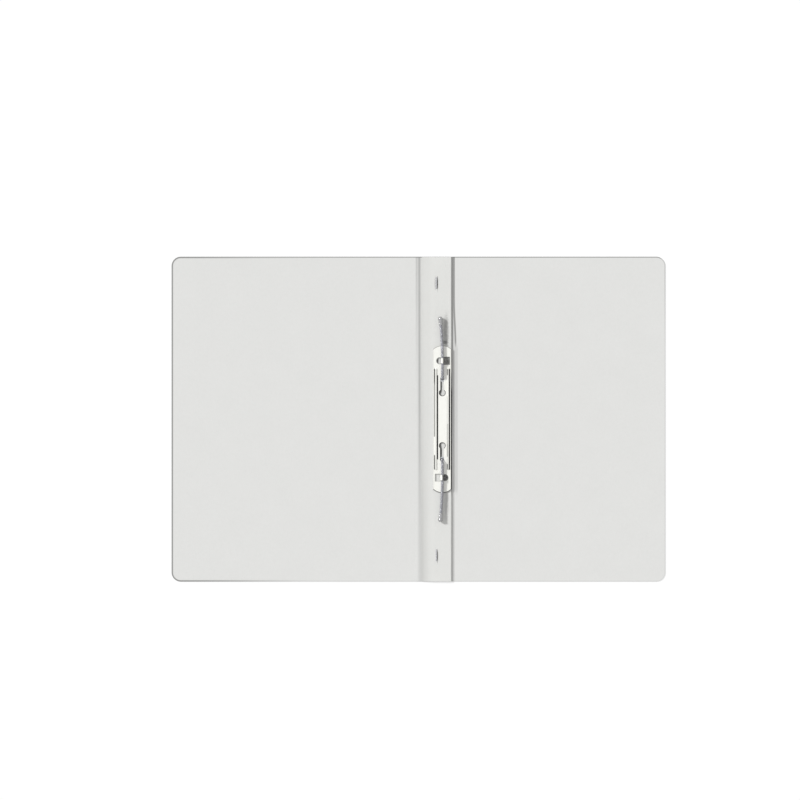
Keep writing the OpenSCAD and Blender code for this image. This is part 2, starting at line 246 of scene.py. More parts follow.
def step(tree, value, low, high, to_low=0.0, to_high=1.0):
    """A soft step of value from low to high"""
    inputs = {"Value": value, "From Min": low, "From Max": high, "To Min": to_low, "To Max": to_high}
    return put(tree, "MapRange", inputs, interpolation_type="SMOOTHSTEP").outputs["Result"]


def bell(tree, value, centre, width, core=0.0):
    """A soft band round centre, one out to core and none at width to each side"""
    away = calc(tree, "ABSOLUTE", calc(tree, "SUBTRACT", value, centre))
    return step(tree, away, core, width, 1.0, 0.0)


def mix(tree, share, first, second):
    """One Mix node for colours"""
    return put(tree, "Mix", {0: share, 6: first, 7: second}, data_type="RGBA").outputs[2]


def between(tree, share, first, second):
    """One Mix node for plain values"""
    return put(tree, "Mix", {0: share, 2: first, 3: second}, data_type="FLOAT").outputs[0]


def profile(tree, value, stops):
    """The value looked up in a row of places and heights"""
    low, high = stops[0][0], stops[-1][0]
    place = put(tree, "MapRange", {"Value": value, "From Min": low, "From Max": high}).outputs[0]
    node = put(tree, "ValToRGB", {0: place})
    elements = node.color_ramp.elements
    for stop in stops[1:-1]:
        elements.new((stop[0] - low) / (high - low))
    for element, stop in zip(elements, stops):
        element.color = colour(stop[1], stop[1], stop[1])
    return node.outputs[0]


def stretched(tree, place, turn, scale):
    """The place turned about Z and stretched, for streaks"""
    inputs = {"Vector": place, "Rotation": (0, 0, turn), "Scale": scale}
    return put(tree, "Mapping", inputs, vector_type="POINT").outputs[0]


def axes(tree, place):
    return put(tree, "SeparateXYZ", {0: place}).outputs


def distance(tree, sideways, endways):
    """Distance of a flat offset from its origin"""
    offset = put(tree, "CombineXYZ", {0: sideways, 1: endways, 2: 0.0}).outputs[0]
    return put(tree, "VectorMath", {0: offset}, operation="LENGTH").outputs["Value"]


def from_prongs(tree, place):
    """Sideways and endways distances from the middle of the bar, and the height"""
    away = put(tree, "VectorMath", {0: place, 1: (PRONG_X, 0, 0)}, operation="SUBTRACT").outputs[0]
    return axes(tree, away)


def bump(tree, height, strength, depth):
    return put(tree, "Bump", {"Height": height, "Strength": strength, "Distance": depth}).outputs[0]


def colour(red, green, blue):
    return (red, green, blue, 1.0)


def new_group(name, inputs, outputs):
    """An empty shader group with named sockets, and its input and output nodes"""
    group = bpy.data.node_groups.new(name, "ShaderNodeTree")
    for socket, kind in inputs:
        group.interface.new_socket(socket, in_out="INPUT", socket_type="NodeSocket" + kind)
    for socket, kind in outputs:
        group.interface.new_socket(socket, in_out="OUTPUT", socket_type="NodeSocket" + kind)
    start = group.nodes.new("NodeGroupInput")
    end = group.nodes.new("NodeGroupOutput")
    return group, start, end


def new_material(name, base, roughness, **sockets):
    """A material with one Principled BSDF. Sockets that vary are linked by the caller"""
    material = bpy.data.materials.new(name)
    material.use_nodes = True
    material.diffuse_color = base
    tree = material.node_tree
    tree.nodes.clear()
    output = put(tree, "OutputMaterial")
    shader = put(tree, "BsdfPrincipled", {"Base Color": base, "Roughness": roughness})
    for socket, value in sockets.items():
        shader.inputs[socket.replace("_", " ")].default_value = value
    tree.links.new(shader.outputs[0], output.inputs[0])
    return material, tree, shader


def rest_place(tree):
    """Where a point lies on the open folder, also when the piece is bent"""
    return put(tree, "Attribute", attribute_name="rest_place").outputs["Vector"]


def object_place(tree):
    return put(tree, "TexCoord").outputs["Object"]


# Card grain: cloudy formation, short fibres lying three ways, and a fine tooth

CLOUDS = 36
FORMATION = 300
TOOTH = 2400
FIBRES = 2600
FIBRE_TURNS = (0.4, -0.7, 1.45)
FIBRE_STRETCH = (1.0, 0.11, 1.0)
FIBRE_SHADE = -0.28
FIBRE_MEAN = 0.06


def make_card_grain():
    group, start, end = new_group(
        "card_grain",
        [("Place", "Vector")],
        [("Tone", "Float"), ("Height", "Float")],
    )
    place = start.outputs["Place"]
    cloud = noise(group, place, CLOUDS, 3, 0.6)
    formation = noise(group, place, FORMATION, 4, 0.6)
    tooth = noise(group, place, TOOTH, 3, 0.6)
    fibres = 0.0
    for turn in FIBRE_TURNS:
        streak = noise(group, stretched(group, place, turn, FIBRE_STRETCH), FIBRES, 1)
        fibres = most(group, fibres, step(group, streak, 0.6, 0.74))
    tone = between(group, 0.5, cloud, formation)
    tone = scaled(group, fibres, FIBRE_SHADE, calc(group, "ADD", tone, FIBRE_MEAN))
    height = scaled(group, fibres, 0.5, times(group, tooth, 0.7))
    group.links.new(tone, end.inputs["Tone"])
    group.links.new(height, end.inputs["Height"])
    return group


# Metal wear: fine drawn lines along one way, dull patches and small nicks

LINE_STRETCH = (1.0, 0.05, 1.0)
PATCHES = 420
NICKS = 3800


def make_metal_wear():
    group, start, end = new_group(
        "metal_wear",
        [("Place", "Vector"), ("Line Scale", "Float")],
        [("Shade", "Float"), ("Dullness", "Float"), ("Height", "Float")],
    )
    place = start.outputs["Place"]
    lines = noise(group, stretched(group, place, 0, LINE_STRETCH), start.outputs["Line Scale"])
    patches = noise(group, place, PATCHES, 3, 0.6)
    nicks = step(group, noise(group, place, NICKS, 1), 0.66, 0.76)
    shade = scaled(group, lines, 0.4, times(group, patches, 0.6))
    shade = scaled(group, nicks, -0.25, shade)
    dullness = scaled(group, patches, 0.7, times(group, nicks, 0.3))
    height = scaled(group, nicks, -0.6, lines)
    group.links.new(shade, end.inputs["Shade"])
    group.links.new(dullness, end.inputs["Dullness"])
    group.links.new(height, end.inputs["Height"])
    return group


# Painted shade along the crease beside the spine, as a share of dark across the fold: sharp at the head,
# wide at the foot

FOLD_AT_HEAD = [
    (-3.2 * MM, 0.0), (-2.1 * MM, 0.28), (-1.1 * MM, 0.17), (0.0, 0.3), (0.75 * MM, 0.42), (1.2 * MM, 0.43),
    (1.9 * MM, 0.22), (2.9 * MM, 0.12), (4.0 * MM, 0.07), (8.0 * MM, 0.0)
]
FOLD_AT_MIDDLE = [
    (-3.2 * MM, 0.0), (-1.0 * MM, 0.05), (0.0, 0.2), (0.75 * MM, 0.41), (1.2 * MM, 0.42), (2.0 * MM, 0.27),
    (2.9 * MM, 0.17), (4.0 * MM, 0.1), (6.0 * MM, 0.04), (8.0 * MM, 0.0)
]
FOLD_AT_FOOT = [
    (-2.4 * MM, 0.0), (-1.0 * MM, 0.03), (1.0 * MM, 0.16), (2.0 * MM, 0.21), (3.0 * MM, 0.23),
    (4.0 * MM, 0.21), (6.0 * MM, 0.12), (8.0 * MM, 0.05), (10.0 * MM, 0.0)
]
MIDDLE_TO_HEAD = (10 * MM, 170 * MM)
FOOT_TO_MIDDLE = (-140 * MM, 60 * MM)


def make_fold_shade():
    group, start, end = new_group("fold_shade", [("Place", "Vector")], [("Shade", "Float")])
    across, along = axes(group, start.outputs["Place"])[:2]
    head = profile(group, across, FOLD_AT_HEAD)
    middle = profile(group, across, FOLD_AT_MIDDLE)
    foot = profile(group, across, FOLD_AT_FOOT)
    shade = between(group, step(group, along, *MIDDLE_TO_HEAD), middle, head)
    shade = between(group, step(group, along, *FOOT_TO_MIDDLE), foot, shade)
    group.links.new(shade, end.inputs["Shade"])
    return group


card_grain = make_card_grain()
metal_wear = make_metal_wear()
fold_shade = make_fold_shade()


# Card and ink

# Dark mixed into the card and the strip: rubbing on the outer ridges of the scores, and painted shade and
# shadow everywhere else
DIRT_AND_SHADE = colour(0.02, 0.02, 0.019)
PAPER_RELIEF = 0.05 * MM


def paper_grain(tree, place):
    return put(tree, "Group", {"Place": place}, node_tree=card_grain).outputs


def painted_fold_shade(tree, place):
    return put(tree, "Group", {"Place": place}, node_tree=fold_shade).outputs["Shade"]


def finish_paper(tree, shader, base, grain, roughness, spread, relief):
    """Links the colour of a paper face, with roughness and relief from its grain"""
    tree.links.new(base, shader.inputs["Base Color"])
    tree.links.new(scaled(tree, grain["Tone"], spread, roughness), shader.inputs["Roughness"])
    tree.links.new(bump(tree, grain["Height"], relief, PAPER_RELIEF), shader.inputs["Normal"])


# Rubbed ridges of the two scores on the outer face
RIDGE_W = 0.6 * MM
RIDGE_RUB = 0.16

# Painted shadow of the strip and the bar on the rear cover, as bands along the strip's free edge: distance
# outside it, half width, half width of the core, strength, and where along the folder it starts, is full, is
# still full and ends
SHADOW_BANDS = [
    (0.9 * MM, 1.6 * MM, 0.6 * MM, 0.32, -60 * MM, 60 * MM, HEAD_Y, BEYOND),
    (4.4 * MM, 2.4 * MM, 1.2 * MM, 0.17, -76 * MM, -68 * MM, 68 * MM, 76 * MM),
    (0.0, 0.65 * MM, 0.4 * MM, 0.95, -78 * MM, -68 * MM, 24 * MM, 34 * MM),
]
SHADOW_BANDS_MOST = 0.97

# Painted lines along the edge of the strip's shadow, in the same terms, each with its drift outwards on the
# way from the head to the bar
PAINTED_EDGE_LINES = [
    ((2.45 * MM, 1.25 * MM, 0.5 * MM, 0.58, 66 * MM, 78 * MM, HEAD_Y, BEYOND), 1.55 * MM),
    ((2.1 * MM, 1.5 * MM, 0.5 * MM, 0.2, -BEYOND, -HEAD_Y, -78 * MM, -66 * MM), 0.0),
]
DRIFT_STRETCH = (70 * MM, 120 * MM)

# Soiled rims: widths from the cut edge, and the stretches over which the soil grows
RIM_DIRT = colour(0.13, 0.13, 0.126)
RIM_W = 1.3 * MM
HEAD_RIM = (HEAD_Y - 4 * MM, HEAD_Y - 1 * MM)
SIDE_RIM = (60 * MM, HEAD_Y)
FRONT_RIM = (-REACH, 170 * MM - REACH)
FRONT_RIM_W = (-2.0 * MM, -0.5 * MM)


def edge_band(tree, from_edge, along, band):
    """The strength of one soft band beside the strip's free edge"""
    out, half, core, strength, start, full, last, end = band
    stretch = times(tree, step(tree, along, start, full), step(tree, along, last, end, strength, 0.0))
    return times(tree, bell(tree, from_edge, out, half, core), stretch)


def strip_shadow_paint(tree, across, along):
    """Painted shadow on the rear cover beside the strip and the bar, and painted lines along its edge"""
    from_edge = calc(tree, "SUBTRACT", across, STRIP_EDGE)
    painted_shade = 0.0
    for band in SHADOW_BANDS:
        painted_shade = calc(tree, "ADD", painted_shade, edge_band(tree, from_edge, along, band))
    for band, drift in PAINTED_EDGE_LINES:
        drifted = step(tree, along, *DRIFT_STRETCH, drift, 0.0)
        from_line = calc(tree, "SUBTRACT", from_edge, drifted)
        painted_shade = most(tree, painted_shade, edge_band(tree, from_line, along, band))
    return calc(tree, "MINIMUM", painted_shade, SHADOW_BANDS_MOST)


def rim_soil(tree, across, along):
    """Soil on the rims, darkest along the head and round the free edge of the front cover"""
    past_corner = distance(tree, past(tree, across, REACH - CORNER_R), past(tree, along, HEAD_Y - CORNER_R))
    outwards = calc(tree, "SUBTRACT", past_corner, CORNER_R)
    soiled = most(tree, step(tree, along, *HEAD_RIM, 0.0, 0.95), step(tree, along, *SIDE_RIM, 0.12, 0.45))
    soiled = times(tree, soiled, step(tree, outwards, -RIM_W, 0.0))
    front = times(tree, step(tree, across, *FRONT_RIM, 0.8, 0.0), step(tree, outwards, *FRONT_RIM_W))
    return most(tree, soiled, front)


def make_cover_card():
    """Pale grey card, with painted shade along the folds and painted shadow beside the strip and the bar on
    the inner face. The cut edges are a little soiled
    """
    material, tree, shader = new_material(
        "cover_card", colour(0.753, 0.753, 0.738), 0.8, Specular_IOR_Level=0.25
    )
    place = rest_place(tree)
    across, along, up = axes(tree, place)
    inside = step(tree, up, 0.5 * BOARD_T, 0.6 * BOARD_T)
    grain = paper_grain(tree, place)
    card = mix(tree, grain["Tone"], colour(0.722, 0.724, 0.708), colour(0.784, 0.784, 0.77))
    # Painted shade along the folds, on the inner face only
    card = mix(tree, times(tree, painted_fold_shade(tree, place), inside), card, DIRT_AND_SHADE)
    ridge = bell(tree, calc(tree, "ABSOLUTE", across), FOLD_X, RIDGE_W)
    card = mix(tree, times(tree, ridge, scaled(tree, inside, -RIDGE_RUB, RIDGE_RUB)), card, DIRT_AND_SHADE)
    # Painted shadow beside the strip and the bar, on the inner face only
    card = mix(tree, times(tree, strip_shadow_paint(tree, across, along), inside), card, DIRT_AND_SHADE)
    card = mix(tree, rim_soil(tree, across, along), card, RIM_DIRT)
    finish_paper(tree, shader, card, grain, 0.74, 0.12, 0.35)
    return material


def make_printed_ink():
    """Thin grey print on the card, broken a little by the fibres"""
    material, tree, shader = new_material(
        "printed_ink", colour(0.06, 0.062, 0.058), 0.62, Specular_IOR_Level=0.35
    )
    grain = paper_grain(tree, rest_place(tree))
    broken = step(tree, grain["Tone"], 0.25, 0.9)
    ink = mix(tree, broken, colour(0.05, 0.052, 0.049), colour(0.1, 0.102, 0.096))
    finish_paper(tree, shader, ink, grain, 0.5, 0.2, 0.2)
    return material


# Painted shadow on the strip in the openings of the bar, beside the prongs and beside the staples, from the
# middle of
# the bar: middle, radii and strength
PAINTED_SHADOWS = [
    (3.8 * MM, 87 * MM, 2.9 * MM, 16.5 * MM, 0.46),
    (2.6 * MM, 75.6 * MM, 2.9 * MM, 1.8 * MM, 0.6),
    (4.4 * MM, -85 * MM, 2.2 * MM, 16 * MM, 0.25),
    (4.6 * MM, 57.7 * MM, 4.0 * MM, 5.4 * MM, 0.78),
    (-4.9 * MM, 57.5 * MM, 1.5 * MM, 3.0 * MM, 0.84),
    (2.8 * MM, -57.2 * MM, 4.1 * MM, 4.3 * MM, 0.91),
    (-1.1 * MM, 33.0 * MM, 1.2 * MM, 8.5 * MM, 0.88),
    (-1.2 * MM, -33.0 * MM, 1.2 * MM, 8.5 * MM, 0.88),
    (-2.2 * MM, 26.5 * MM, 1.2 * MM, 2.8 * MM, 0.82),
    (-2.2 * MM, -25.5 * MM, 1.2 * MM, 2.8 * MM, 0.82),
    (-4.75 * MM, 133.6 * MM, 0.75 * MM, 7.0 * MM, 0.95),
    (-7.0 * MM, 133.6 * MM, 0.7 * MM, 7.0 * MM, 0.3),
    (-4.75 * MM, -134.6 * MM, 0.7 * MM, 7.0 * MM, 0.85),
]
SHADOW_CELLS = 620
SHADOW_FADE_EDGE = (0.45, 1.3)

# Painted shade on the strip's margin beside the fold, where it slopes up towards the light
MARGIN_SHADE_X = 8.5 * MM
MARGIN_SHADE_W = 6.0 * MM
MARGIN_SHADE = 0.06


def make_strip_card():
    """The strip's thinner card, a touch warmer, with painted shade beside the fold and on its sloped margin,
    and painted shadows of the bar, the prongs and the staples
    """
    material, tree, shader = new_material(
        "strip_card", colour(0.75, 0.752, 0.728), 0.8, Specular_IOR_Level=0.25
    )
    place = object_place(tree)
    grain = paper_grain(tree, place)
    card = mix(tree, grain["Tone"], colour(0.72, 0.722, 0.7), colour(0.784, 0.785, 0.764))
    margin_shade = bell(tree, axes(tree, place)[0], MARGIN_SHADE_X, MARGIN_SHADE_W)
    card = mix(tree, scaled(tree, margin_shade, MARGIN_SHADE, painted_fold_shade(tree, place)), card, DIRT_AND_SHADE)
    # Each painted shadow fades out unevenly into the card
    sideways, endways = from_prongs(tree, place)[:2]
    uneven = noise(tree, place, SHADOW_CELLS, 4, 0.65)
    thin = step(tree, uneven, 0.3, 0.65, 0.65, 1.0)
    ragged = scaled(tree, uneven, 1.2, -0.6)
    for x, y, radius_x, radius_y, strength in PAINTED_SHADOWS:
        away_x = times(tree, calc(tree, "SUBTRACT", sideways, x), 1 / radius_x)
        away_y = times(tree, calc(tree, "SUBTRACT", endways, y), 1 / radius_y)
        away = calc(tree, "ADD", distance(tree, away_x, away_y), ragged)
        spot = step(tree, away, *SHADOW_FADE_EDGE, strength, 0.0)
        card = mix(tree, times(tree, spot, thin), card, DIRT_AND_SHADE)
    finish_paper(tree, shader, card, grain, 0.74, 0.12, 0.35)
    return material


# Enamel of the bar

# Dark mixed into the enamel: painted shade, with some wear and bare steel
GRIME_AND_SHADE = colour(0.012, 0.012, 0.012)
PEEL = 900
PEEL_RELIEF = 0.06 * MM
ENAMEL_PATCHES = 160

# Greyer enamel over the beads, painted shade that tempers the light on them: half widths, and the outer
# slope of the left bead, which faces the light, where alone it shows
BEAD_TINT_W = 1.3 * MM
BEAD_TINT_CORE = 0.9 * MM
LEFT_SLOPE = (-6.5 * MM, -5.8 * MM)

# Dark lines beside the beads: place across the bar, strength, and ends towards the foot and the head. The
# lines on the right of each bead, away from the light, are painted shadow. The outer line of the left bead
# also darkens slowly towards the head
LEFT_LINE = -7.69 * MM
BEAD_LINES = [
    (LEFT_LINE, 0.62, -16.5 * MM, BEAD_Y),
    (LEFT_LINE, 0.82, -BEAD_Y, -36 * MM),
    (-4.72 * MM, 1.0, -38.8 * MM, 42.5 * MM),
    (5.1 * MM, 0.74, 44 * MM, BEAD_Y),
    (5.1 * MM, 0.33, -BEAD_Y, 22 * MM),
    (5.1 * MM, 0.5, -27 * MM, -5 * MM),
    (5.1 * MM, 0.62, -36.5 * MM, -24.5 * MM),
    (5.1 * MM, 0.74, -BEAD_Y, -44.5 * MM),
    (7.09 * MM, 1.0, -BEAD_Y, BEAD_Y),
]
BEAD_LINE_W = 0.8 * MM
BEAD_LINE_CORE = 0.5 * MM
BEAD_LINE_FADE = 1.5 * MM
HEAD_LINE_W = 0.75 * MM
HEAD_LINE_CORE = 0.45 * MM
HEAD_LINE_FADE = (24 * MM, 38 * MM)

# Edges: where the darkening starts and where it is full. The right edge gets painted shade, the left edge
# grey wear
RIGHT_EDGE_SHADE = (BAR_HALF_W - 0.72 * MM, BAR_HALF_W - 0.52 * MM)
RIGHT_EDGE_SHADE_FADE = (38 * MM, 48 * MM)
ROLLED_EDGE = (BAR_HALF_W - 0.95 * MM, BAR_HALF_W - 0.6 * MM)
CUT_END = (END_ARC_R - 0.8 * MM, END_ARC_R - 0.45 * MM)
CUT_END_FADE = (-60 * MM, 60 * MM)

# Rims of the openings, darkened with painted shade: where it is still full and where it ends
KEY_RIM = (KEYHOLE_R + 0.4 * MM, KEYHOLE_R + 0.75 * MM)
SLOT_RIM = (2.1 * MM, 2.5 * MM)
SLOT_STRETCH = (7 * MM, 8 * MM)
FINGER_RIM = (FINGER_R + 0.25 * MM, FINGER_R + 0.55 * MM)
WINDOW_RIM = (2.85 * MM, 3.15 * MM)
WINDOW_STRETCH = (3.8 * MM, 4.1 * MM)

# Hooks: heights over which the sheet counts as raised, and where painted shade darkens their side away from
# the light, at the foot and at the head
HOOK_RISE = (RUN_Z - 1.2 * MM, RUN_Z - 0.8 * MM)
HOOK_SHADE_FROM = (-0.6 * MM, 0.5 * MM)
HOOK_SHADE_TO = 3 * MM
HOOK_STRETCH = (2.8 * MM, 3.2 * MM)


class BarPlaces:
    """Where a point lies on the bar, from its middle, and as seen from the hook at its own end"""

    def __init__(self, tree, place):
        self.sideways, self.endways, up = from_prongs(tree, place)
        self.across = calc(tree, "ABSOLUTE", self.sideways)
        self.along = calc(tree, "ABSOLUTE", self.endways)
        self.upper = step(tree, self.endways, -MM, MM)
        self.left = step(tree, self.sideways, -MM, MM, 1.0, 0.0)
        self.raised = step(tree, up, *HOOK_RISE)
        self.flat = calc(tree, "SUBTRACT", 1.0, self.raised)
        self.turned = times(tree, self.sideways, scaled(tree, self.upper, 2.0, -1.0))
        self.from_hook = calc(tree, "SUBTRACT", self.along, HOOK_Y)


def bead_shade(tree, at):
    """Greyer enamel over the beads, painted shade that tempers the light on them, and dark lines along their
    feet, which are painted shadow on the side of each bead away from the light
    """
    left = bell(tree, at.sideways, -BEAD_X, BEAD_TINT_W, BEAD_TINT_CORE)
    left = times(tree, left, step(tree, at.sideways, *LEFT_SLOPE, 0.3, 0.0))
    right = times(tree, bell(tree, at.sideways, BEAD_X, BEAD_TINT_W, BEAD_TINT_CORE), 0.27)
    bead_darkening = most(tree, left, right)
    for line, strength, foot, head in BEAD_LINES:
        reach = (head - foot) / 2
        stretch = bell(tree, at.endways, (head + foot) / 2, reach + BEAD_LINE_FADE, reach)
        band = times(tree, bell(tree, at.sideways, line, BEAD_LINE_W, BEAD_LINE_CORE), stretch)
        bead_darkening = most(tree, bead_darkening, times(tree, band, strength))
    head_line = bell(tree, at.sideways, LEFT_LINE, HEAD_LINE_W, HEAD_LINE_CORE)
    head_line = times(tree, head_line, step(tree, at.endways, *HEAD_LINE_FADE, 0.0, 0.9))
    bead_darkening = most(tree, bead_darkening, head_line)
    return times(tree, bead_darkening, step(tree, at.along, BEAD_Y, BEAD_Y + BEAD_W / 2, 1.0, 0.0))


def edge_shade_and_wear(tree, at):
    """Rolled long edges and bowed cut ends: grey wear on the left edge, painted shade on the right edge,
    away from the light, and dark cut ends, darker at the lower end with painted shade
    """
    painted_shade = step(tree, at.endways, *RIGHT_EDGE_SHADE_FADE, 1.0, 0.45)
    painted_shade = times(tree, painted_shade, step(tree, at.sideways, *RIGHT_EDGE_SHADE))
    rolled = step(tree, at.across, *ROLLED_EDGE, 0.0, 0.28)
    rolled = times(tree, rolled, step(tree, at.sideways, -MM, 0.0, 1.0, 0.0))
    from_arc = distance(tree, at.across, past(tree, at.endways, BAR_END_Y - END_ARC_R))
    cut_end = times(tree, step(tree, from_arc, *CUT_END), step(tree, at.endways, *CUT_END_FADE, 0.9, 0.5))
    return [painted_shade, rolled, cut_end]


def opening_rim_shade(tree, at):
    """Painted shade on the rims of the keyholes, the slots, the finger holes and the windows, most on their
    shaded sides
    """
    from_key = distance(tree, at.sideways, calc(tree, "SUBTRACT", at.along, KEYHOLE_Y))
    key = times(tree, step(tree, from_key, *KEY_RIM, 1.0, 0.0), scaled(tree, at.left, 0.1, 0.88))
    core, width = SLOT_STRETCH
    slot = times(tree, bell(tree, at.along, (KEYHOLE_Y + HOLE_Y) / 2, width, core), at.left)
    slot = times(tree, slot, step(tree, at.across, *SLOT_RIM, 1.0, 0.0))
    slot = times(tree, slot, scaled(tree, at.upper, -0.45, 0.95))
    from_finger = distance(tree, calc(tree, "ADD", at.turned, FINGER_X), at.from_hook)
    finger = times(tree, step(tree, from_finger, *FINGER_RIM, 0.75, 0.0), at.flat)
    core, width = WINDOW_RIM
    window = times(tree, bell(tree, at.turned, WINDOW_X, width, core), at.flat)
    core, width = WINDOW_STRETCH
    window = times(tree, window, bell(tree, at.from_hook, 0.0, width, core))
    window = times(tree, window, scaled(tree, at.upper, 0.5, 0.35))
    return [key, slot, finger, window]


def hook_shade(tree, at):
    """Painted shade on the hooks, on their side away from the light"""
    shade_from = between(tree, at.upper, *HOOK_SHADE_FROM)
    crossed = step(tree, at.sideways, shade_from, HOOK_SHADE_TO)
    shaded_side = times(tree, at.raised, step(tree, crossed, 0.0, 0.1, 0.0, 0.85))
    core, width = HOOK_STRETCH
    return times(tree, shaded_side, bell(tree, at.from_hook, 0.0, width, core))


def upright_steel_and_shade(tree):
    """Upright faces made darker: bare steel on the sheared faces, and painted shade on the upright sides of
    the hooks and the rolled edges
    """
    facing = axes(tree, put(tree, "TexCoord").outputs["Normal"])[2]
    return step(tree, calc(tree, "ABSOLUTE", facing), 0.2, 0.5, 0.6, 0.0)


def make_bar_enamel():
    """White stove enamel on steel with faint orange peel. Painted shade darkens its right edge, the rims of
    its openings, its hooks and beside its beads, with grey wear on the left edge and bare steel on the cut
    faces
    """
    material, tree, shader = new_material(
        "bar_enamel", colour(0.945, 0.943, 0.895), 0.3, Specular_IOR_Level=0.15, Coat_Roughness=0.1
    )
    place = object_place(tree)
    peel = noise(tree, place, PEEL)
    patchy = step(tree, noise(tree, place, ENAMEL_PATCHES, 3, 0.6), 0.35, 0.75)
    enamel = mix(tree, patchy, colour(0.955, 0.953, 0.905), colour(0.93, 0.927, 0.87))
    at = BarPlaces(tree, place)
    shade_and_wear = bead_shade(tree, at)
    for mask in [*edge_shade_and_wear(tree, at), *opening_rim_shade(tree, at), hook_shade(tree, at), upright_steel_and_shade(tree)]:
        shade_and_wear = most(tree, shade_and_wear, mask)
    tree.links.new(mix(tree, shade_and_wear, enamel, GRIME_AND_SHADE), shader.inputs["Base Color"])
    tree.links.new(scaled(tree, shade_and_wear, -0.6, 0.6), shader.inputs["Coat Weight"])
    tree.links.new(scaled(tree, peel, 0.16, 0.22), shader.inputs["Roughness"])
    tree.links.new(bump(tree, peel, 0.12, PEEL_RELIEF), shader.inputs["Normal"])
    return material


# Bare metals

WIRE_GAP_SHADE = colour(0.02, 0.02, 0.022)
METAL_RELIEF = 0.02 * MM


def make_metal(name, place_of, low, high, smooth, rough, lines, metallic, wound=False):
    """A metal between two shades and two roughnesses. Wound wire gets painted shade between its turns"""
    material, tree, shader = new_material(name, high, rough, Metallic=metallic)
    inputs = {"Place": place_of(tree), "Line Scale": lines}
    wear = put(tree, "Group", inputs, node_tree=metal_wear).outputs
    metal = mix(tree, wear["Shade"], low, high)
    if wound:
        # Painted shade in the gaps between the turns
        crest = put(tree, "Attribute", attribute_name="wire_crest").outputs["Fac"]
        metal = mix(tree, step(tree, crest, -0.1, 0.75, 0.92, 0.0), metal, WIRE_GAP_SHADE)
    tree.links.new(metal, shader.inputs["Base Color"])
    tree.links.new(step(tree, wear["Dullness"], 0.2, 0.8, smooth, rough), shader.inputs["Roughness"])
    tree.links.new(bump(tree, wear["Height"], 0.15, METAL_RELIEF), shader.inputs["Normal"])
    return material


cover_card = make_cover_card()
printed_ink = make_printed_ink()
strip_card = make_strip_card()
bar_enamel = make_bar_enamel()
spring_wire = make_metal(
    "spring_wire", rest_place, colour(0.32, 0.325, 0.35), colour(0.54, 0.54, 0.58),
    smooth=0.25, rough=0.45, lines=5200, metallic=0.5, wound=True
)
tip_nickel = make_metal(
    "tip_nickel", object_place, colour(0.3, 0.3, 0.31), colour(0.5, 0.5, 0.5),
    smooth=0.14, rough=0.3, lines=2600, metallic=0.6
)
staple_wire = make_metal(
    "staple_wire", object_place, colour(0.44, 0.44, 0.46), colour(0.64, 0.64, 0.66),
    smooth=0.24, rough=0.45, lines=4000, metallic=0.7
)
rail_zinc = make_metal(
    "rail_zinc", object_place, colour(0.42, 0.43, 0.45), colour(0.66, 0.67, 0.69),
    smooth=0.3, rough=0.55, lines=1800, metallic=1.0
)


# Mesh building

def everything(bm):
    return bm.verts[:] + bm.edges[:] + bm.faces[:]


def patch(faces):
    """The faces with their edges and corners, for a cut that stays on them"""
    edges = {edge for face in faces for edge in face.edges}
    verts = {vert for face in faces for vert in face.verts}
    return list(verts) + list(edges) + list(faces)


def rise(edge):
    return abs(edge.verts[0].co.z - edge.verts[1].co.z)


def cut_across(bm, geom, place, axis):
    """Cuts the geometry along a plane square to an axis"""
    normal = Vector((0, 0, 0))
    normal[axis] = 1
    bmesh.ops.bisect_plane(bm, geom=geom, dist=0.1 * MICRON, plane_co=normal * place, plane_no=normal)


def raise_faces(bm, faces, height):
    """Extrudes the faces upwards"""
    moved = bmesh.ops.extrude_face_region(bm, geom=faces)["geom"]
    verts = [part for part in moved if isinstance(part, bmesh.types.BMVert)]
    bmesh.ops.translate(bm, vec=(0, 0, height), verts=verts)


def round_edges(bm, edges, radius, segments):
    bmesh.ops.bevel(
        bm, geom=edges, offset=radius, offset_type="OFFSET", segments=segments, profile=0.5,
        affect="EDGES", clamp_overlap=True, material=-1
    )


def smooth_faces(bm):
    for face in bm.faces:
        face.smooth = True


def finished(name, bm, material, stands_for=()):
    """The mesh as a named piece at the origin, with its rest place kept on its points"""
    mesh = bpy.data.meshes.new(name)
    bm.to_mesh(mesh)
    bm.free()
    mesh.materials.append(material)
    kept = mesh.attributes.new("rest_place", "FLOAT_VECTOR", "POINT")
    for point, vert in zip(kept.data, mesh.vertices):
        point.vector = vert.co
    made = bpy.data.objects.new(name, mesh)
    scene.collection.objects.link(made)
    if stands_for:
        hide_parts(*stands_for)
    return made


# Covers: one scored sheet, made in two halves that meet at the middle of the spine

def groove_depth(x):
    """Depth of the pressed scores at x, on the inner face"""
    shares = [1 - abs(x - middle) / half for middle, half in SCORES]
    return SCORE_DEPTH * max(0.0, *shares)


def card_blank(side):
    """Half of the card, from the middle of the spine to the free edge, with round corners and soft rims"""
    bm = bmesh.new()
    bmesh.ops.create_grid(bm, x_segments=1, y_segments=1, size=0.5)
    bmesh.ops.scale(bm, vec=(REACH, 2 * HEAD_Y, 1), verts=bm.verts[:])
    bmesh.ops.translate(bm, vec=(side * REACH / 2, 0, 0), verts=bm.verts[:])
    raise_faces(bm, bm.faces[:], BOARD_T)
    bmesh.ops.recalc_face_normals(bm, faces=bm.faces[:])
    corners = [e for e in bm.edges if rise(e) > BOARD_T / 2 and abs(e.verts[0].co.x) > REACH / 2]
    round_edges(bm, corners, CORNER_R, CORNER_STEPS)
    rims = [
        e for e in bm.edges
        if rise(e) < MICRON and max(abs(v.co.x) for v in e.verts) > MICRON and abs(e.calc_face_angle()) > 1
    ]
    round_edges(bm, rims, RIM_R, EDGE_STEPS)
    return bm


